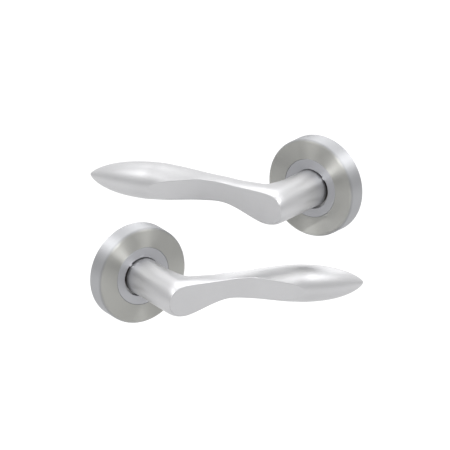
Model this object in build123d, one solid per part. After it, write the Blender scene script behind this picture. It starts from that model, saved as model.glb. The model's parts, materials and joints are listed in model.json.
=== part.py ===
from build123d import *

import os
from math import copysign, cos, pi, radians, sin

# Handed pair of lever handles on round roses, in millimetres, +Z up.
# Every piece is first made in its handle's own frame: Z along the spindle with the door's face at
# Z = 0 and the handle in front of it, X along the lever, Y up. The left handle is the mirror image
# of the right one, and both are then set in place, each turned towards the middle of the pair.

# Layout of the pair
HANDLE_YAW = 33.2  # each door face is turned this far about the vertical
LEFT_HANDLE_AT = (94.5, 33.6, 40.0)  # left door-face centre, from the right one's

# Rose
ROSE_R = 26.0
ROSE_DEPTH = 9.8
COVER_WALL = 1.0
COVER_EDGE_R = 1.6
COVER_INNER_EDGE_R = 0.9
RING_R = 15.5
RING_BORE_R = 10.55
RING_BORE_AT = (-0.5, -0.25)  # the bore's centre: the gap round the neck is widest opposite the lever
RING_FLANGE_R = 17.0
RING_SEAM = 0.15  # clearance between the ring and the cover's hole
KEY_ANGLE = 137.0  # from the lever's direction, round the neck
KEY_WIDTH = 1.6
KEY_CLEARANCE = 0.3
RING_EDGE = 0.12

# Neck, journal and spindle
NECK_R = 9.75
NECK_FIT = 0.05  # radial running clearance of the neck in its bush
SHOULDER_Z = 5.1  # where the neck steps down to the journal
JOURNAL_R = 7.0
JOURNAL_FIT = 0.06
JOURNAL_END_Z = 0.2
SPINDLE_SIDE = 8.0
SOCKET_SIDE = 8.12
SPINDLE_BEHIND_DOOR_FACE = 22.0
SPINDLE_END_CHAMFER = 0.8
SOCKET_END_Z = 34.0
GRUB_Z = 24.0
GRUB_R = 2.5
GRUB_TIP_Y = 4.02
GRUB_LENGTH = 5.0
GRUB_KEY_ACROSS_FLATS = 2.5
GRUB_KEY_DEPTH = 2.2
GRUB_CHAMFER = 0.4
RETAINING_RING_R = 8.7
RETAINING_RING_Z = (0.4, 1.3)
RETAINING_RING_GAP = 3.0
GROOVE_DEPTH = 0.7
GROOVE_CLEARANCE = 0.05

# Base plate and what is stacked on it, as heights above the door's face
BASE_R = 24.8
BASE_THICKNESS = 3.0
BASE_RIM_TOP_Z = 6.6
BASE_RIM_WALL = 1.4
RECESS_R = 11.0
RECESS_DEPTH = 1.6
WASHER_Z = (3.1, 3.45)
WASHER_CLEARANCE = 0.15
CAM_Z = (3.5, 5.0)
SPRING_Z = (5.4, 6.8)
SPRING_COVER_Z = (7.0, 7.6)
SPRING_COVER_R = 22.6
SPRING_COVER_NOTCH = 6.0
RING_Z = (7.7, 8.7, ROSE_DEPTH)  # flange back, flange front, face
BUSH_Z = (5.3, 6.8, 7.6)  # flange back, flange front, end
BUSH_R = 10.6
BUSH_FLANGE_R = 11.8

# Fixing holes: wood screws above and below, free bolt holes left and right, on one circle
FIXING_CIRCLE_R = 19.0
BOLT_HOLE_R = 2.1
SCREW_SHANK_R = 1.75
SCREW_HEAD_R = 3.5
SCREW_HEAD_HEIGHT = 1.9
SCREW_HOLE_CLEARANCE = 0.15
SCREW_POINT_LENGTH = 3.0
SCREW_POINT_R = 0.2
SCREW_CROSS = (3.6, 0.8, 1.1)  # length, width and depth of each slot of the cross
SCREW_BEHIND_DOOR_FACE = 10.0
COVER_SCREW_AT_R = 21.4
COVER_SCREW_ANGLES = (20.0, 200.0)
COVER_SCREW_R = 1.2
COVER_SCREW_END_Z = 4.3
COVER_SCREW_HEAD_R = 2.1
COVER_SCREW_HEAD_HEIGHT = 0.9
COVER_SCREW_SLOT = (0.5, 0.45)  # width and depth
POST_R = 1.9

# Stop lug on the cam, and the turn that it allows
LEVER_TURN = 45.0
CAM_R = 16.0
CAM_CLEARANCE = 0.1
LUG_R = 20.3
LUG_ANGLE = 100.0  # middle of the lug at rest
LUG_HALF_WIDTH = 9.0
STOP_CLEARANCE = 1.0  # degrees
STOP_R = (17.0, 21.0)
STOP_SPAN = 8.0  # degrees
DOG_ANGLES = (0.0, 180.0)
DOG_R = (7.6, 9.3)
DOG_WIDTH = 3.0
DOG_TOP_Z = 6.4
DOG_CLEARANCE = 0.1

# Return spring, a flat spiral of strip
SPRING_START_R = 14.5
SPRING_START_ANGLE = 207.5
SPRING_PITCH = 1.5
SPRING_TURNS = 3
SPRING_STRIP = 0.7
SPRING_PIN_R = 0.7
SPRING_PIN_AT = (13.0, 213.5)  # radius and angle
SPRING_HOOK_IN = (12.4, 208.7)  # how far in the inner end reaches, and its angle beside the pin
SPRING_HOOK_OUT = (20.9, 206.5)  # how far out the outer end reaches, and its angle beside a post

# Lever blade and grip. The blade is a rounded bar with its front sawn flat at FACE_Z.
FACE_Z = 50.0
FACE_EDGE_R = 0.6
PIVOT_Z = 22.5  # the elbow turns about an upright line at this height and at the first row's X
SKIN_STEP = 0.03  # the elbow's skin starts this far inside the neck's round
CORNER_POWER = 12  # how square the elbow's outer corner is
HEIGHT_BLEND_X = 4.0  # the neck keeps its full height out to here
HEIGHT_BLEND_POWER = 0.9
# X, centre Y, half height, centre Z, half depth in front, half depth behind, squareness, lean
GRIP_ROWS = (
    (27.0, 2.3, 5.9, 45.4, 8.6, 8.8, 2.25, 0.0),
    (42.0, 0.75, 6.3, 45.7, 8.8, 9.0, 2.2, -0.1),
    (52.0, -1.2, 6.85, 44.2, 8.8, 9.2, 2.15, -0.2),
    (64.0, -3.75, 8.15, 41.8, 9.7, 9.5, 2.05, -0.2),
    (77.0, -6.25, 9.4, 39.9, 9.9, 9.4, 2.0, -0.12),
)
GRIP_END_SLOPE = -0.2  # the centre line's fall at the grip's thickest section
TIP = (115.5, -11.7, 40.9)
TIP_POWER = 2.4  # how full the grip stays before it closes to the tip
TIP_BLUNTNESS = 0.72  # 1 closes to a sharp point, 0.5 to a round nose
SECTION_POINTS = 24
# Where the skin's sections are taken: close together at the elbow's corner and towards the tip
ELBOW_ANGLES = (0, 6, 12, 18, 24, 30, 35, 39, 42, 45, 48, 51, 55, 60, 66, 72, 78, 84, 90)
GRIP_STATIONS = (30, 33.5, 37.5, *range(42, 98, 5), 101, 105, 108.5, 111.5, 113.5, 114.7, 115.15, 115.38)

PIVOT_X = GRIP_ROWS[0][0]


def polar(radius, angle, z=0.0):
    """A point at a radius and an angle in degrees about the spindle."""
    return Vector(radius * cos(radians(angle)), radius * sin(radians(angle)), z)


def disc(radius, bottom, top, at=(0.0, 0.0)):
    """A round disc between two heights."""
    return Pos(at[0], at[1], bottom) * Cylinder(
        radius, top - bottom, align=(Align.CENTER, Align.CENTER, Align.MIN)
    )


def washer(outer, inner, bottom, top):
    """A flat ring between two heights."""
    return disc(outer, bottom, top) - disc(inner, bottom - 1, top + 1)


def block(radius_range, width, z_range, angle):
    """A block that reaches from one radius to another at an angle round the spindle."""
    length = radius_range[1] - radius_range[0]
    height = z_range[1] - z_range[0]
    box = Box(length, width, height, align=(Align.MIN, Align.CENTER, Align.MIN))
    return Rot(0, 0, angle) * Pos(radius_range[0], 0, z_range[0]) * box


def sector(radius_range, start_angle, end_angle, z_range):
    """A piece of a ring between two angles."""
    inner, outer = radius_range
    middle = (start_angle + end_angle) / 2
    outline = (
        Line(polar(inner, start_angle), polar(outer, start_angle))
        + ThreePointArc(polar(outer, start_angle), polar(outer, middle), polar(outer, end_angle))
        + Line(polar(outer, end_angle), polar(inner, end_angle))
        + ThreePointArc(polar(inner, end_angle), polar(inner, middle), polar(inner, start_angle))
    )
    face = make_face(outline)
    return Pos(0, 0, z_range[0]) * extrude(face, z_range[1] - z_range[0])


# ---------------------------------------------------------------- rose


def rose_cover():
    """Turned stainless shell with a rounded front edge and a round hole for the ring."""
    shell = disc(ROSE_R, 0, ROSE_DEPTH)
    shell = fillet(shell.edges().sort_by(Axis.Z)[-1], COVER_EDGE_R)
    hollow = disc(ROSE_R - COVER_WALL, -1, ROSE_DEPTH - COVER_WALL)
    hollow = fillet(hollow.edges().sort_by(Axis.Z)[-1], COVER_INNER_EDGE_R)
    return shell - hollow - disc(RING_R + RING_SEAM, 0, ROSE_DEPTH + 1)


def rose_ring():
    """Ring flush in the cover's face, held by a flange behind it, with a tooth towards the neck."""
    back, step, front = RING_Z
    ring = disc(RING_R, step, front) + disc(RING_FLANGE_R, back, step)
    ring -= disc(RING_BORE_R, back - 1, front + 1, RING_BORE_AT)
    front_edges = ring.edges().filter_by(GeomType.CIRCLE).group_by(Axis.Z)[-1]
    key = block((NECK_R + KEY_CLEARANCE, RING_BORE_R + 1.5), KEY_WIDTH, (step, front), KEY_ANGLE)
    return chamfer(front_edges, RING_EDGE) + key


def bearing_bush():
    """Dark nylon bearing round the neck, held by its flange under the spring cover."""
    back, step, front = BUSH_Z
    bore = NECK_R + NECK_FIT
    return washer(BUSH_R, bore, back, front) + washer(BUSH_FLANGE_R, bore, back, step)


def base_plate():
    """Die-cast plate on the door: rim, journal bearing, stops, posts and fixing holes."""
    plate = disc(BASE_R, 0, BASE_THICKNESS)
    plate += washer(BASE_R, BASE_R - BASE_RIM_WALL, BASE_THICKNESS - 1, BASE_RIM_TOP_Z)
    for angle in COVER_SCREW_ANGLES:
        x, y, _ = polar(COVER_SCREW_AT_R, angle)
        plate += disc(POST_R, BASE_THICKNESS - 1, SPRING_COVER_Z[0], (x, y))
        plate -= disc(COVER_SCREW_R + 0.05, COVER_SCREW_END_Z - 0.3, SPRING_COVER_Z[0] + 1, (x, y))
    # the lug turns clockwise from its rest stop to its end stop
    rest_stop = LUG_ANGLE + LUG_HALF_WIDTH + STOP_CLEARANCE
    end_stop = LUG_ANGLE - LEVER_TURN - LUG_HALF_WIDTH - STOP_CLEARANCE
    stop_z = (BASE_THICKNESS - 1, CAM_Z[1])
    plate += sector(STOP_R, rest_stop, rest_stop + STOP_SPAN, stop_z)
    plate += sector(STOP_R, end_stop - STOP_SPAN, end_stop, stop_z)
    plate -= disc(RECESS_R, -1, RECESS_DEPTH)
    plate -= disc(JOURNAL_R + JOURNAL_FIT, -1, BASE_THICKNESS + 1)
    for angle in (90.0, 270.0):
        x, y, _ = polar(FIXING_CIRCLE_R, angle)
        plate -= disc(SCREW_SHANK_R + SCREW_HOLE_CLEARANCE, -1, BASE_THICKNESS + 1, (x, y))
        plate -= Pos(x, y, BASE_THICKNESS) * countersink(SCREW_HOLE_CLEARANCE)
    for angle in (0.0, 180.0):
        x, y, _ = polar(FIXING_CIRCLE_R, angle)
        plate -= disc(BOLT_HOLE_R, -1, BASE_THICKNESS + 1, (x, y))
    return plate


def countersink(clearance=0.0):
    """The wood screw's conical head, or the seat round it, which narrows downwards from Z = 0."""
    top = (Align.CENTER, Align.CENTER, Align.MAX)
    return Cone(SCREW_SHANK_R + clearance, SCREW_HEAD_R + clearance, SCREW_HEAD_HEIGHT, align=top)


def spring_cover():
    """Thin steel plate over the spring, which also traps the bush's flange."""
    plate = washer(SPRING_COVER_R, BUSH_R + 0.1, *SPRING_COVER_Z)
    for angle in COVER_SCREW_ANGLES:
        x, y, _ = polar(COVER_SCREW_AT_R, angle)
        plate -= disc(COVER_SCREW_R + 0.2, 0, ROSE_DEPTH, (x, y))
    return plate - block((STOP_R[1], ROSE_R), SPRING_COVER_NOTCH, SPRING_COVER_Z, LUG_ANGLE)


def wood_screws():
    """Two countersunk screws with cross recesses, above and below the spindle."""
    head_z = BASE_THICKNESS - 0.05
    shank_z = SCREW_POINT_LENGTH - SCREW_BEHIND_DOOR_FACE
    top = (Align.CENTER, Align.CENTER, Align.MAX)
    point = Cone(SCREW_POINT_R, SCREW_SHANK_R, SCREW_POINT_LENGTH, align=top)
    screw = Pos(0, 0, head_z) * countersink()
    screw += disc(SCREW_SHANK_R, shank_z, head_z - SCREW_HEAD_HEIGHT)
    screw += Pos(0, 0, shank_z) * point
    for turn in (0, 90):
        screw -= Rot(0, 0, turn) * Pos(0, 0, head_z) * Box(*SCREW_CROSS, align=top)
    return Pos(0, FIXING_CIRCLE_R, 0) * screw + Pos(0, -FIXING_CIRCLE_R, 0) * screw


def cover_screws():
    """Two slotted pan-head screws that hold the spring cover to the base plate's posts."""
    seat = SPRING_COVER_Z[1]
    top = seat + COVER_SCREW_HEAD_HEIGHT
    width, depth = COVER_SCREW_SLOT
    screw = disc(COVER_SCREW_HEAD_R, seat, top) + disc(COVER_SCREW_R, COVER_SCREW_END_Z, seat)
    screw -= Pos(0, 0, top) * Box(3 * COVER_SCREW_HEAD_R, width, 2 * depth)
    first, second = [polar(COVER_SCREW_AT_R, angle) for angle in COVER_SCREW_ANGLES]
    return Pos(first) * screw + Pos(second) * screw


# ---------------------------------------------------------------- parts that turn with the lever


def thrust_washer():
    """Thin washer between the base plate and the cam."""
    return washer(RECESS_R, JOURNAL_R + WASHER_CLEARANCE, *WASHER_Z)


def cam_plate():
    """Disc with the stop lug, the spring's pin and two dogs that drive it from the neck."""
    cam = washer(CAM_R, JOURNAL_R + CAM_CLEARANCE, *CAM_Z)
    cam += sector((CAM_R - 1, LUG_R), LUG_ANGLE - LUG_HALF_WIDTH, LUG_ANGLE + LUG_HALF_WIDTH, CAM_Z)
    for angle in DOG_ANGLES:
        cam += block(DOG_R, DOG_WIDTH, (CAM_Z[0], DOG_TOP_Z), angle)
    pin = polar(*SPRING_PIN_AT)
    return cam + disc(SPRING_PIN_R, CAM_Z[0], SPRING_Z[1], (pin.X, pin.Y))


def return_spring():
    """Flat spiral of strip, hooked on the cam's pin inside and on a post outside."""
    steps = 12 * SPRING_TURNS
    finish_r = SPRING_START_R + SPRING_PITCH * SPRING_TURNS

    def side(offset):
        points = []
        for i in range(steps + 1):
            share = i / steps
            radius = SPRING_START_R + SPRING_PITCH * SPRING_TURNS * share + offset
            points.append(polar(radius, SPRING_START_ANGLE + 360 * SPRING_TURNS * share))
        return points

    inside, outside = side(-SPRING_STRIP / 2), side(SPRING_STRIP / 2)
    outline = (
        Spline(*inside)
        + Line(inside[-1], outside[-1])
        + Spline(*reversed(outside))
        + Line(outside[0], inside[0])
    )
    height = SPRING_Z[1] - SPRING_Z[0]
    strip = Pos(0, 0, SPRING_Z[0]) * extrude(make_face(outline), height)
    reach_in, angle_in = SPRING_HOOK_IN
    reach_out, angle_out = SPRING_HOOK_OUT
    strip += block((reach_in, SPRING_START_R), SPRING_STRIP, SPRING_Z, angle_in)
    return strip + block((finish_r, reach_out), SPRING_STRIP, SPRING_Z, angle_out)


def retaining_ring():
    """Open ring in the journal's groove, in the recess behind the base plate."""
    ring = washer(RETAINING_RING_R, JOURNAL_R - GROOVE_DEPTH + GROOVE_CLEARANCE, *RETAINING_RING_Z)
    return ring - block((0.0, RETAINING_RING_R + 1), RETAINING_RING_GAP, (0.0, RECESS_DEPTH), 270.0)


def spindle():
    """Square bar from inside the neck to behind the door's face."""
    start, end = -SPINDLE_BEHIND_DOOR_FACE, SOCKET_END_Z - 0.5
    bar = Box(SPINDLE_SIDE, SPINDLE_SIDE, end - start, align=(Align.CENTER, Align.CENTER, Align.MIN))
    bar = Pos(0, 0, start) * bar
    ends = bar.edges().group_by(Axis.Z)
    return chamfer(ends[0] + ends[-1], SPINDLE_END_CHAMFER)


def grub_screw():
    """Socket set screw that comes in from below and bears on the spindle."""
    toward_spindle = Plane(origin=(0, -GRUB_TIP_Y, GRUB_Z), x_dir=(1, 0, 0), z_dir=(0, -1, 0))
    body = extrude(toward_spindle * Circle(GRUB_R), GRUB_LENGTH)
    body = chamfer(body.edges().filter_by(GeomType.CIRCLE), GRUB_CHAMFER)
    hexagon = RegularPolygon(GRUB_KEY_ACROSS_FLATS / 2, 6, major_radius=False)
    socket = toward_spindle.offset(GRUB_LENGTH - GRUB_KEY_DEPTH) * hexagon
    return body - extrude(socket, GRUB_LENGTH)


# ---------------------------------------------------------------- lever


def smoothed(share):
    """0 to 1 with level ends."""
    share = min(max(share, 0.0), 1.0)
    return share * share * (3 - 2 * share)


def grip_row(x):
    """The section sizes at X: a cubic through the rows, each with its neighbours' slope."""
    rows = GRIP_ROWS
    last = len(rows) - 1
    i = max(k for k in range(last) if rows[k][0] <= x)
    width = rows[i + 1][0] - rows[i][0]
    t = (x - rows[i][0]) / width

    def slope(k, column):
        if k == 0:
            return 0.0
        if k == last:
            return GRIP_END_SLOPE if column == 1 else 0.0
        return (rows[k + 1][column] - rows[k - 1][column]) / (rows[k + 1][0] - rows[k - 1][0])

    sizes = []
    for column in range(1, len(rows[0])):
        before, after = rows[i][column], rows[i + 1][column]
        rise = (3 * t**2 - 2 * t**3) * (after - before)
        leave = (t**3 - 2 * t**2 + t) * width * slope(i, column)
        arrive = (t**3 - t**2) * width * slope(i + 1, column)
        sizes.append(before + rise + leave + arrive)
    return sizes


def section(to_point, centre_y, half_height, centre, front, back, squareness, lean):
    """Points round a superelliptic outline, from its back and back there again."""
    points = []
    for k in range(SECTION_POINTS + 1):
        turn = 2 * pi * (k % SECTION_POINTS) / SECTION_POINTS + pi
        c, s = cos(turn), sin(turn)
        depth = (front if c > 0 else back) * copysign(abs(c) ** (2 / squareness), c)
        height = half_height * copysign(abs(s) ** (2 / squareness), s)
        points.append(to_point(centre + depth, centre_y + height + lean * depth))
    return points


def elbow_section(angle):
    """Section in the plane through the pivot line: 0 degrees cuts the neck, 90 the blade."""
    c, s = cos(radians(angle)), sin(radians(angle))
    centre_y, half_height, centre_z, front, back, squareness, lean = GRIP_ROWS[0][1:]
    start_r = NECK_R - SKIN_STEP

    def corner(reach_x, reach_z, power):
        return ((c / reach_x) ** power + (s / reach_z) ** power) ** (-1 / power)

    outer = corner(PIVOT_X + start_r, centre_z + front - PIVOT_Z, CORNER_POWER)
    middle = corner(PIVOT_X, centre_z - PIVOT_Z, CORNER_POWER)
    inner = corner(PIVOT_X - start_r, centre_z - back - PIVOT_Z, 2)
    from_neck = PIVOT_X - middle * c - HEIGHT_BLEND_X
    blend = smoothed(from_neck / (PIVOT_X - HEIGHT_BLEND_X)) ** HEIGHT_BLEND_POWER
    return section(
        lambda reach, y: Vector(PIVOT_X - reach * c, y, PIVOT_Z + reach * s),
        centre_y * blend,
        start_r + (half_height - start_r) * blend,
        middle,
        outer - middle,
        middle - inner,
        2 + (squareness - 2) * blend,
        lean * blend,
    )


def grip_section(x):
    """Section across the blade or the grip."""
    thickest = GRIP_ROWS[-1]
    if x <= thickest[0]:
        sizes = grip_row(x)
    else:
        share = (x - thickest[0]) / (TIP[0] - thickest[0])
        closing = (1 - share**TIP_POWER) ** TIP_BLUNTNESS
        centre_y = thickest[1] + (TIP[1] - thickest[1]) * share
        centre_z = thickest[3] + (TIP[2] - thickest[3]) * share
        half_height, front, back = (thickest[k] * closing for k in (2, 4, 5))
        lean = thickest[7] * (1 - share)
        sizes = (centre_y, half_height, centre_z, front, back, thickest[6], lean)
    return section(lambda z, y: Vector(x, y, z), *sizes)


def lever_bar():
    """Elbow, blade and grip in one smooth skin, closed flat where it leaves the neck and at the tip."""
    rows = [elbow_section(angle) for angle in ELBOW_ANGLES]
    rows += [grip_section(x) for x in GRIP_STATIONS]
    skin = Face.make_surface_from_array_of_points(rows, tol=0.001, min_deg=3, max_deg=8)
    ends = [Face(Wire(edge)) for edge in skin.edges() if edge.is_closed]
    return Solid(Shell([skin, *ends]))


def lever():
    """Neck, elbow, blade and grip, with the journal, spindle socket and dog pockets."""
    on_floor = (Align.CENTER, Align.CENTER, Align.MIN)
    body = disc(NECK_R, SHOULDER_Z, PIVOT_Z) + lever_bar()
    body -= Pos(PIVOT_X, 0, FACE_Z) * Box(2 * TIP[0], 6 * NECK_R, FACE_Z, align=on_floor)
    sawn_face = body.faces().filter_by(Plane.XY).sort_by(Axis.Z)[-1]
    body = fillet(sawn_face.edges(), FACE_EDGE_R)
    body += disc(JOURNAL_R, JOURNAL_END_Z, SHOULDER_Z + 1)
    groove_z = (RETAINING_RING_Z[0] - GROOVE_CLEARANCE, RETAINING_RING_Z[1] + GROOVE_CLEARANCE)
    body -= washer(JOURNAL_R + 1, JOURNAL_R - GROOVE_DEPTH, *groove_z)
    body -= Pos(0, 0, -1) * Box(SOCKET_SIDE, SOCKET_SIDE, SOCKET_END_Z + 1, align=on_floor)
    for angle in DOG_ANGLES:
        pocket_r = (DOG_R[0] - DOG_CLEARANCE, DOG_R[1] + DOG_CLEARANCE)
        pocket_z = (SHOULDER_Z - 1, DOG_TOP_Z + DOG_CLEARANCE)
        body -= block(pocket_r, DOG_WIDTH + DOG_CLEARANCE, pocket_z, angle)
    downwards = Plane(origin=(0, 0, GRUB_Z), x_dir=(1, 0, 0), z_dir=(0, -1, 0))
    return body - extrude(downwards * Circle(GRUB_R + 0.05), NECK_R + 3)


# ---------------------------------------------------------------- assembly

PIECES = (
    lever,
    grub_screw,
    spindle,
    thrust_washer,
    cam_plate,
    retaining_ring,
    return_spring,
    rose_cover,
    rose_ring,
    bearing_bush,
    base_plate,
    spring_cover,
    wood_screws,
    cover_screws,
)


def main():
    yaw_c, yaw_s = cos(radians(HANDLE_YAW)), sin(radians(HANDLE_YAW))
    right = Plane(origin=(0, 0, 0), x_dir=(yaw_c, yaw_s, 0), z_dir=(yaw_s, -yaw_c, 0))
    left = Plane(origin=LEFT_HANDLE_AT, x_dir=(yaw_c, -yaw_s, 0), z_dir=(-yaw_s, -yaw_c, 0))
    os.makedirs("parts", exist_ok=True)
    for make in PIECES:
        piece = make()
        name = make.__name__
        export_step(right.location * piece, f"parts/right_{name}.step")
        export_step(left.location * mirror(piece, about=Plane.YZ), f"parts/left_{name}.step")


main()
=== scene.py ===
import json
from math import cos, radians, sin

import bpy
from mathutils import Matrix, Vector

# Handed pair of lever handles: satin chrome levers and rings on brushed stainless roses.
# Metres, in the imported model's frame: +Z up, the origin at the right handle's door face.

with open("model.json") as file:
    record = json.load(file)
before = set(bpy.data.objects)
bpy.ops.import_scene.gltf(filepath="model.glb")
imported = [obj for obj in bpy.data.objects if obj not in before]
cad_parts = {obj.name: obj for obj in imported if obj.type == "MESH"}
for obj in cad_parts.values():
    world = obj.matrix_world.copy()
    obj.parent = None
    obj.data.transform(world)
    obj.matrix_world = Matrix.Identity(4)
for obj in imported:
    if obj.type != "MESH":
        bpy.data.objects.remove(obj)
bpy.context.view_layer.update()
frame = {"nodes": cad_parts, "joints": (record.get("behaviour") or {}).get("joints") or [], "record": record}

SIDES = ("right", "left")
UP = Vector((0, 0, 1))

# Each handle's door-face centre, outward direction and lever direction, from the record
JOINTS = {joint["name"]: joint for joint in frame["joints"]}
MOUNTS = {mount["name"]: mount for mount in frame["record"]["mounts"]}
HANDLES = {}
for side in SIDES:
    outward = -Vector(MOUNTS[f"{side}_bolts"]["axis"])
    HANDLES[side] = {
        "centre": Vector(JOINTS[f"{side}_lever_turn"]["pos_m"]),
        "outward": outward,
        "along": outward.cross(-UP if side == "right" else UP),
    }

# ---------------------------------------------------------------- shader nodes

NOISE_RANGE = (0.3, 0.7)  # nearly all of a noise pattern's values lie between these
ROUNDED_NORMAL = (0.85, 0.995)  # how alike a rounded and the true normal are, on an edge and off it
BEVEL_SAMPLES = 6


def new_material(name):
    material = bpy.data.materials.new(name)
    material.use_nodes = True
    tree = material.node_tree
    return material, tree, tree.nodes["Principled BSDF"]


def node(tree, kind, inputs=None, **settings):
    """A node whose inputs take either another node's socket or a plain value."""
    made = tree.nodes.new(kind)
    for key, value in settings.items():
        setattr(made, key, value)
    for key, value in (inputs or {}).items():
        if isinstance(value, bpy.types.NodeSocket):
            tree.links.new(value, made.inputs[key])
        else:
            made.inputs[key].default_value = value
    return made


def object_place(tree):
    """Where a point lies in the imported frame; it rides with the piece."""
    return node(tree, "ShaderNodeTexCoord").outputs["Object"]


def noise(tree, vector, scale, detail, roughness=0.5):
    inputs = {"Vector": vector, "Scale": scale, "Detail": detail, "Roughness": roughness}
    return node(tree, "ShaderNodeTexNoise", inputs).outputs["Fac"]


def remap(tree, value, to, over=NOISE_RANGE):
    """Goes evenly from one value of `to` to the other while the value crosses `over`."""
    limits = {"From Min": over[0], "From Max": over[1], "To Min": to[0], "To Max": to[1]}
    return node(tree, "ShaderNodeMapRange", {"Value": value, **limits}).outputs["Result"]


def math_node(tree, operation, a, b=0.0):
    return node(tree, "ShaderNodeMath", {0: a, 1: b}, operation=operation).outputs[0]


def vector_math(tree, operation, a, b=(0.0, 0.0, 0.0)):
    return node(tree, "ShaderNodeVectorMath", {0: a, 1: b}, operation=operation)


def dot(tree, a, direction):
    return vector_math(tree, "DOT_PRODUCT", a, tuple(direction)).outputs["Value"]


def scaled(tree, vector, scale):
    made = vector_math(tree, "SCALE", vector)
    if isinstance(scale, bpy.types.NodeSocket):
        tree.links.new(scale, made.inputs["Scale"])
    else:
        made.inputs["Scale"].default_value = scale
    return made.outputs[0]


def mix_colour(tree, factor, a, b):
    made = node(tree, "ShaderNodeMix", {"Factor": factor}, data_type="RGBA")
    for socket, value in ((made.inputs[6], a), (made.inputs[7], b)):
        if isinstance(value, bpy.types.NodeSocket):
            tree.links.new(value, socket)
        else:
            socket.default_value = (*value, 1.0)
    return made.outputs[2]


def bump(tree, height, strength, distance):
    inputs = {"Height": height, "Strength": strength, "Distance": distance}
    return node(tree, "ShaderNodeBump", inputs).outputs["Normal"]


def edge_mask(tree, radius):
    """1 on sharp edges, fading to 0 within the radius."""
    bevel = node(tree, "ShaderNodeBevel", {"Radius": radius}, samples=BEVEL_SAMPLES)
    normal = node(tree, "ShaderNodeNewGeometry").outputs["Normal"]
    alike = vector_math(tree, "DOT_PRODUCT", bevel.outputs["Normal"], normal).outputs["Value"]
    return remap(tree, alike, (1.0, 0.0), ROUNDED_NORMAL)


# ---------------------------------------------------------------- materials

# Satin lever
GRAIN_ALONG = 160.0  # changes of the fine grain per metre, along the lever and across it
GRAIN_ACROSS = 5000.0
CLOUD_SHARE = 0.7  # how far clouds take the tone from dark to light, and the grain back again
GRAIN_SHARE = 0.4
RUBBED_WIDTH = 0.0006  # how far from an edge handling has rubbed it
RUBBED_TONE = 1.12  # a rubbed edge's brightness against the rest
RUBBED_SHARE = 0.6
SMUDGE_ROUGHNESS = (-0.015, 0.015)  # what smudges and grain change the roughness by
GRAIN_ROUGHNESS = (-0.03, 0.03)
RUBBED_ROUGHNESS = 0.08  # what a rubbed edge is smoother by

# Painted shade on the neck in the gap behind the ring's face, on the side away from the tip: full at the
# first value and gone at the second
GAP_SHADE_COLOUR = (0.12, 0.108, 0.10)
GAP_SHADE_DEPTH = (0.0092, 0.0096)  # from the door's face
GAP_SHADE_ALONG = (-0.0085, -0.006)  # along the lever, from the spindle's axis

# Turned roses and rings
GROOVES_PER_METRE = 16000.0
GROOVE_CHANGE = 5.0  # how fast a groove changes round its circle
GROOVE_SHADE = (0.2, 1.0)  # the share of the lighter colour, from groove to groove and cloud to cloud
CLOUD_SHADE = (0.75, 1.0)
GROOVE_ROUGHNESS = (-0.04, 0.05)  # what the grooves change the roughness by
FACING_OUT = (0.5, 0.97)  # how squarely a surface faces outwards: on the rim, and on the flat face
RIM_ROUGHNESS = 0.22  # what the rim is rougher by

# Hidden steel and zinc, and nylon
MOTTLE_TONE = 0.86  # the darker mottles' brightness against the rest
MOTTLE_ROUGHNESS = (-0.04, 0.06)  # what the mottling changes the roughness by
NYLON_ROUGHNESS = (0.45, 0.6)


def around(roughness, change):
    """The roughness at both ends of a pattern that changes it."""
    return tuple(roughness + part for part in change)


def satin_metal(name, side, colour, dark, roughness):
    """Satin plated metal: grain along the lever, faint handling marks, edges rubbed brighter and painted
    shade on the neck in the ring's gap.
    """
    material, tree, shader = new_material(name)
    handle = HANDLES[side]
    place = object_place(tree)
    arm = vector_math(tree, "SUBTRACT", place, tuple(handle["centre"])).outputs[0]
    along = dot(tree, arm, handle["along"])
    across = dot(tree, arm, handle["outward"])
    height = node(tree, "ShaderNodeSeparateXYZ", {0: arm}).outputs["Z"]
    stretched = {
        "X": math_node(tree, "MULTIPLY", along, GRAIN_ALONG),
        "Y": math_node(tree, "MULTIPLY", across, GRAIN_ACROSS),
        "Z": math_node(tree, "MULTIPLY", height, GRAIN_ACROSS),
    }
    brushed = node(tree, "ShaderNodeCombineXYZ", stretched).outputs[0]
    grain = noise(tree, brushed, scale=1.0, detail=4.0, roughness=0.65)
    cloud = noise(tree, place, scale=40.0, detail=2.0)
    smudge = noise(tree, place, scale=130.0, detail=3.0)
    edge = edge_mask(tree, RUBBED_WIDTH)

    tone = mix_colour(tree, remap(tree, cloud, (0.0, CLOUD_SHARE)), dark, colour)
    tone = mix_colour(tree, remap(tree, grain, (0.0, GRAIN_SHARE)), tone, dark)
    bright = tuple(RUBBED_TONE * part for part in colour)
    tone = mix_colour(tree, math_node(tree, "MULTIPLY", edge, RUBBED_SHARE), tone, bright)
    # painted shade: the neck is darkened in the ring's gap, most on the side away from the tip
    in_bush = remap(tree, across, (1.0, 0.0), GAP_SHADE_DEPTH)
    away_from_tip = remap(tree, along, (1.0, 0.0), GAP_SHADE_ALONG)
    gap_shade = math_node(tree, "MULTIPLY", in_bush, away_from_tip)
    tree.links.new(mix_colour(tree, gap_shade, tone, GAP_SHADE_COLOUR), shader.inputs["Base Color"])

    shader.inputs["Metallic"].default_value = 1.0
    rough = remap(tree, smudge, around(roughness, SMUDGE_ROUGHNESS))
    rough = math_node(tree, "ADD", rough, remap(tree, grain, GRAIN_ROUGHNESS))
    rough = math_node(tree, "SUBTRACT", rough, math_node(tree, "MULTIPLY", edge, RUBBED_ROUGHNESS))
    tree.links.new(rough, shader.inputs["Roughness"])
    tree.links.new(bump(tree, grain, strength=0.10, distance=0.00003), shader.inputs["Normal"])
    return material


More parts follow.
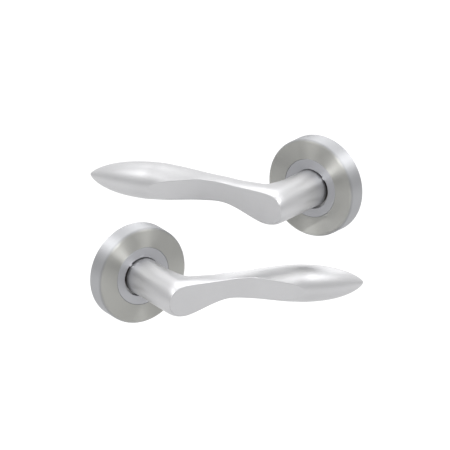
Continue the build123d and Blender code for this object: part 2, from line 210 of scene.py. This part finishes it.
def turned_metal(name, side, colour, dark, lit_rim_colour, roughness, anisotropy):
    """Metal brushed in circles about its handle's spindle axis, its rim painted lighter and cooler as
    painted light.
    """
    material, tree, shader = new_material(name)
    centre, outward = HANDLES[side]["centre"], HANDLES[side]["outward"]
    place = object_place(tree)
    arm = vector_math(tree, "SUBTRACT", place, tuple(centre)).outputs[0]
    depth = dot(tree, arm, outward)
    flat = vector_math(tree, "SUBTRACT", arm, scaled(tree, tuple(outward), depth)).outputs[0]
    radius = vector_math(tree, "LENGTH", flat).outputs["Value"]
    direction = vector_math(tree, "NORMALIZE", flat).outputs[0]
    round_way = vector_math(tree, "CROSS_PRODUCT", direction, tuple(outward)).outputs[0]
    normal = node(tree, "ShaderNodeNewGeometry").outputs["Normal"]
    across_grooves = vector_math(tree, "CROSS_PRODUCT", normal, round_way).outputs[0]

    # grooves: quick change with radius and depth, slow change round the circle
    quick = {
        "X": math_node(tree, "MULTIPLY", radius, GROOVES_PER_METRE),
        "Y": math_node(tree, "MULTIPLY", depth, GROOVES_PER_METRE),
    }
    groove_at = node(tree, "ShaderNodeCombineXYZ", quick).outputs[0]
    groove_at = vector_math(tree, "ADD", scaled(tree, direction, GROOVE_CHANGE), groove_at).outputs[0]
    grooves = noise(tree, groove_at, scale=1.0, detail=3.0, roughness=0.7)
    cloud = noise(tree, place, scale=45.0, detail=3.0)
    on_rim = remap(tree, dot(tree, normal, outward), (1.0, 0.0), FACING_OUT)

    shade = remap(tree, grooves, GROOVE_SHADE)
    shade = math_node(tree, "MULTIPLY", shade, remap(tree, cloud, CLOUD_SHADE))
    tone = mix_colour(tree, shade, dark, colour)
    # painted light: the rim, picked by which way the surface faces, gets a lighter, cooler colour than the
    # face
    tree.links.new(mix_colour(tree, on_rim, tone, lit_rim_colour), shader.inputs["Base Color"])

    shader.inputs["Metallic"].default_value = 1.0
    rough = remap(tree, grooves, around(roughness, GROOVE_ROUGHNESS))
    rough = math_node(tree, "ADD", rough, math_node(tree, "MULTIPLY", on_rim, RIM_ROUGHNESS))
    tree.links.new(rough, shader.inputs["Roughness"])
    shader.inputs["Anisotropic"].default_value = anisotropy
    tree.links.new(across_grooves, shader.inputs["Tangent"])
    tree.links.new(bump(tree, grooves, strength=0.04, distance=0.00004), shader.inputs["Normal"])
    return material


def plain_metal(name, colour, roughness, skin_bump=0.15):
    """Steel and zinc inside the roses: mottled, with a fine skin that is coarser on a casting."""
    material, tree, shader = new_material(name)
    place = object_place(tree)
    mottle = noise(tree, place, scale=700.0, detail=4.0, roughness=0.55)
    skin = noise(tree, place, scale=2500.0, detail=2.0)
    dark = tuple(MOTTLE_TONE * part for part in colour)
    tone = mix_colour(tree, remap(tree, mottle, (0.0, 1.0)), dark, colour)
    tree.links.new(tone, shader.inputs["Base Color"])
    shader.inputs["Metallic"].default_value = 1.0
    rough = remap(tree, mottle, around(roughness, MOTTLE_ROUGHNESS))
    tree.links.new(rough, shader.inputs["Roughness"])
    tree.links.new(bump(tree, skin, strength=skin_bump, distance=0.00006), shader.inputs["Normal"])
    return material


def nylon(name, colour, dark):
    """Nylon with a faint moulded texture."""
    material, tree, shader = new_material(name)
    place = object_place(tree)
    skin = noise(tree, place, scale=3000.0, detail=2.0)
    cloud = noise(tree, place, scale=200.0, detail=3.0)
    tone = mix_colour(tree, remap(tree, cloud, (0.0, 1.0)), dark, colour)
    tree.links.new(tone, shader.inputs["Base Color"])
    tree.links.new(remap(tree, cloud, NYLON_ROUGHNESS), shader.inputs["Roughness"])
    tree.links.new(bump(tree, skin, strength=0.2, distance=0.00004), shader.inputs["Normal"])
    return material


def dress(node_name, material):
    """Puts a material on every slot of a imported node."""
    mesh = frame["nodes"][node_name].data
    if not mesh.materials:
        mesh.materials.append(material)
    for index in range(len(mesh.materials)):
        mesh.materials[index] = material


LEVER_FINISH = {"colour": (0.585, 0.585, 0.595), "dark": (0.535, 0.535, 0.545), "roughness": 0.43}
# The rims' colours are painted light: lighter and cooler than the faces.
COVER_FINISH = {
    "colour": (0.515, 0.515, 0.492),
    "dark": (0.46, 0.46, 0.437),
    "lit_rim_colour": (0.525, 0.53, 0.545),
    "roughness": 0.46,
    "anisotropy": 0.95,
}
RING_FINISH = {
    "colour": (0.50, 0.505, 0.525),
    "dark": (0.45, 0.455, 0.475),
    "lit_rim_colour": (0.55, 0.555, 0.58),
    "roughness": 0.5,
    "anisotropy": 0.6,
}

plain_steel = plain_metal("plain_steel", (0.5, 0.5, 0.51), 0.38)
drawn_steel = plain_metal("drawn_steel", (0.45, 0.45, 0.46), 0.3)
spring_steel = plain_metal("spring_steel", (0.2, 0.2, 0.22), 0.35)
black_steel = plain_metal("black_steel", (0.06, 0.06, 0.06), 0.45)
zinc_plate = plain_metal("zinc_plate", (0.5, 0.51, 0.52), 0.3)
cast_zinc = plain_metal("cast_zinc", (0.33, 0.335, 0.34), 0.5, skin_bump=0.4)
grey_nylon = nylon("grey_nylon", (0.42, 0.42, 0.42), (0.36, 0.36, 0.36))

for side in SIDES:
    pieces = {
        "lever": satin_metal(f"{side}_lever_chrome", side, **LEVER_FINISH),
        "rose_cover": turned_metal(f"{side}_brushed_steel", side, **COVER_FINISH),
        "rose_ring": turned_metal(f"{side}_ring_chrome", side, **RING_FINISH),
        "bearing_bush": grey_nylon,
        "base_plate": cast_zinc,
        "spring_cover": plain_steel,
        "cam_plate": plain_steel,
        "thrust_washer": drawn_steel,
        "retaining_ring": spring_steel,
        "return_spring": spring_steel,
        "spindle": drawn_steel,
        "grub_screw": black_steel,
        "wood_screws": zinc_plate,
        "cover_screws": zinc_plate,
    }
    for piece, material in pieces.items():
        dress(f"{side}_{piece}", material)

# ---------------------------------------------------------------- camera

ELEVATION = radians(20.65)
ROLL = radians(2.73)
DISTANCE = 9.0
FRAME_WIDTH = 0.2317  # what the picture spans at the object
SENSOR = 36.0
CLIP_END = 100.0
ROSE_DEPTH = 0.0098
FACE_TO_CENTRE = (0.0422, 0.02625)  # right and up, from the right rose's face to the picture's centre

level_up = Vector((0, sin(ELEVATION), cos(ELEVATION)))
forward = Vector((0, cos(ELEVATION), -sin(ELEVATION)))
right = cos(ROLL) * Vector((1, 0, 0)) + sin(ROLL) * level_up
up = cos(ROLL) * level_up - sin(ROLL) * Vector((1, 0, 0))
rose_face = HANDLES["right"]["centre"] + ROSE_DEPTH * HANDLES["right"]["outward"]
target = rose_face + FACE_TO_CENTRE[0] * right + FACE_TO_CENTRE[1] * up

camera = bpy.data.objects.new("camera", bpy.data.cameras.new("camera"))
bpy.context.scene.collection.objects.link(camera)
turned = Matrix((right, up, -forward)).transposed().to_4x4()
camera.matrix_world = Matrix.Translation(target - DISTANCE * forward) @ turned
camera.data.sensor_width = SENSOR
camera.data.lens = SENSOR * DISTANCE / FRAME_WIDTH
camera.data.clip_end = CLIP_END
bpy.context.scene.camera = camera

# ---------------------------------------------------------------- studio

WHITE = (1.0, 1.0, 1.0)

# The sky: a first and a last value, and the parts of the direction where they are reached
SKY_FRONT = 0.6  # its brightness towards the viewer at eye height
SKY_TOWARDS_BACK = (0.0, 0.5), (-0.9, 0.7)  # added by the direction's Y
SKY_FROM_ABOVE = (0.0, 0.25), (0.5, 0.95)  # added by its Z
SKY_AT_SIDES = (0.0, 0.15), (0.7, 0.95)  # taken away by its X, on both sides
SKY_NEAR_HORIZON = (1.0, 0.0), (0.1, 0.5)  # how much of that holds, by its Z

# The floor, and the factors of its glow: a first and a last one, and where they are reached
FLOOR_SIZE = 14.0
FLOOR_AT = (0.0475, 0.0, -0.55)
FLOOR_GREY = (0.12, 0.12, 0.12)
DARK_PATCH_AT = (0.2, -0.9, 0.0)  # from the floor's middle, towards the viewer
GLOW_FROM_PATCH = (0.65, 0.98), (0.25, 0.95)  # by the distance from the dark patch
GLOW_FROM_MIDDLE = (0.84, 1.0), (0.4, 1.2)  # by the distance from the floor's middle
GLOW_TO_BACK = (1.0, 0.6), (0.9, 1.8)  # by the distance behind the middle

# Small lit cards round each neck: degrees round the spindle from the lever's direction, and watts
NECK_CARDS = ((90, 0.00012), (135, 0.00006), (180, 0.0001), (225, 0.0001))
NECK_CARD_SIZE = (0.014, 0.009)
NECK_CARD_OUT = 0.0125  # from the door's face
NECK_CARD_RADIUS = 0.0175  # from the spindle's axis
NECK_CARD_LEAN = 0.7  # how far each is turned from outwards to the neck


def area_light(name, place, size, power, aim=target):
    data = bpy.data.lights.new(name, "AREA")
    data.shape = "RECTANGLE"
    data.size, data.size_y = size
    data.energy = power
    light = bpy.data.objects.new(name, data)
    bpy.context.scene.collection.objects.link(light)
    turn = (aim - Vector(place)).to_track_quat("-Z", "Y").to_matrix().to_4x4()
    light.matrix_world = Matrix.Translation(place) @ turn
    return light


def near_card(name, place, facing, size, power):
    """A small lit card close to the object, left out of the picture itself."""
    light = area_light(name, place, size, power, Vector(place) + Vector(facing))
    light.visible_camera = False


def neck_cards():
    """Cards in front of each rose that light the neck where it would mirror the dark gap."""
    for side, handle in HANDLES.items():
        for degrees, power in NECK_CARDS:
            radial = cos(radians(degrees)) * handle["along"] + sin(radians(degrees)) * UP
            place = handle["centre"] + NECK_CARD_OUT * handle["outward"] + NECK_CARD_RADIUS * radial
            facing = handle["outward"] - NECK_CARD_LEAN * radial
            near_card(f"{side}_neck_card_{degrees}", place, facing, NECK_CARD_SIZE, power)


def studio_world():
    """White behind the object; a softer sky, darker towards the viewer, lights and reflects in it."""
    world = bpy.data.worlds.new("studio")
    bpy.context.scene.world = world
    world.use_nodes = True
    tree = world.node_tree
    background = tree.nodes["Background"]
    way = node(tree, "ShaderNodeTexCoord").outputs["Generated"]
    way_parts = node(tree, "ShaderNodeSeparateXYZ", {0: way}).outputs
    towards_back = remap(tree, way_parts["Y"], *SKY_TOWARDS_BACK)
    from_above = remap(tree, way_parts["Z"], *SKY_FROM_ABOVE)
    to_the_side = remap(tree, math_node(tree, "ABSOLUTE", way_parts["X"]), *SKY_AT_SIDES)
    near_horizon = remap(tree, math_node(tree, "ABSOLUTE", way_parts["Z"]), *SKY_NEAR_HORIZON)
    sky = math_node(tree, "ADD", math_node(tree, "ADD", towards_back, from_above), SKY_FRONT)
    sky = math_node(tree, "SUBTRACT", sky, math_node(tree, "MULTIPLY", to_the_side, near_horizon))
    grey_sky = node(tree, "ShaderNodeCombineColor", {0: sky, 1: sky, 2: sky}).outputs[0]
    seen = node(tree, "ShaderNodeLightPath").outputs["Is Camera Ray"]
    tree.links.new(mix_colour(tree, seen, grey_sky, WHITE), background.inputs["Color"])
    background.inputs["Strength"].default_value = 1.0


def floor():
    """A pale floor, white to the camera; what it reflects in the object is shaded."""
    mesh = bpy.data.meshes.new("floor")
    half = FLOOR_SIZE / 2
    corners = [(-half, -half, 0), (half, -half, 0), (half, half, 0), (-half, half, 0)]
    mesh.from_pydata(corners, [], [(0, 1, 2, 3)])
    obj = bpy.data.objects.new("floor", mesh)
    obj.location = FLOOR_AT
    bpy.context.scene.collection.objects.link(obj)
    material, tree, shader = new_material("floor_white")
    shader.inputs["Base Color"].default_value = (*FLOOR_GREY, 1.0)
    shader.inputs["Roughness"].default_value = 0.9
    shader.inputs["Specular IOR Level"].default_value = 0.0
    shader.inputs["Emission Color"].default_value = (*WHITE, 1.0)
    place = object_place(tree)
    from_patch = vector_math(tree, "DISTANCE", place, DARK_PATCH_AT).outputs["Value"]
    from_middle = vector_math(tree, "LENGTH", place).outputs["Value"]
    to_the_back = node(tree, "ShaderNodeSeparateXYZ", {0: place}).outputs["Y"]
    glow = remap(tree, from_patch, *GLOW_FROM_PATCH)
    glow = math_node(tree, "MULTIPLY", glow, remap(tree, from_middle, *GLOW_FROM_MIDDLE))
    glow = math_node(tree, "MULTIPLY", glow, remap(tree, to_the_back, *GLOW_TO_BACK))
    seen = node(tree, "ShaderNodeLightPath").outputs["Is Camera Ray"]
    tree.links.new(math_node(tree, "MAXIMUM", glow, seen), shader.inputs["Emission Strength"])
    mesh.materials.append(material)


studio_world()
floor()
area_light("top_softbox", place=(0.05, 0.45, 1.05), size=(0.9, 0.6), power=3.8)
neck_cards()
area_light("right_softbox", place=(0.85, -0.1, 0.9), size=(0.5, 0.5), power=3.0)
area_light("left_softbox", place=(-0.75, -0.1, 0.9), size=(0.5, 0.5), power=2.2)
area_light("key", place=(0.05, -1.5, 1.25), size=(0.7, 0.5), power=17.0)
near_card(
    "card_over_lower_grip",
    place=(0.088, 0.028, 0.0155),
    facing=(0.33, -0.58, -0.75),
    size=(0.10, 0.032),
    power=0.0068,
)

bpy.context.scene.view_settings.view_transform = "Standard"
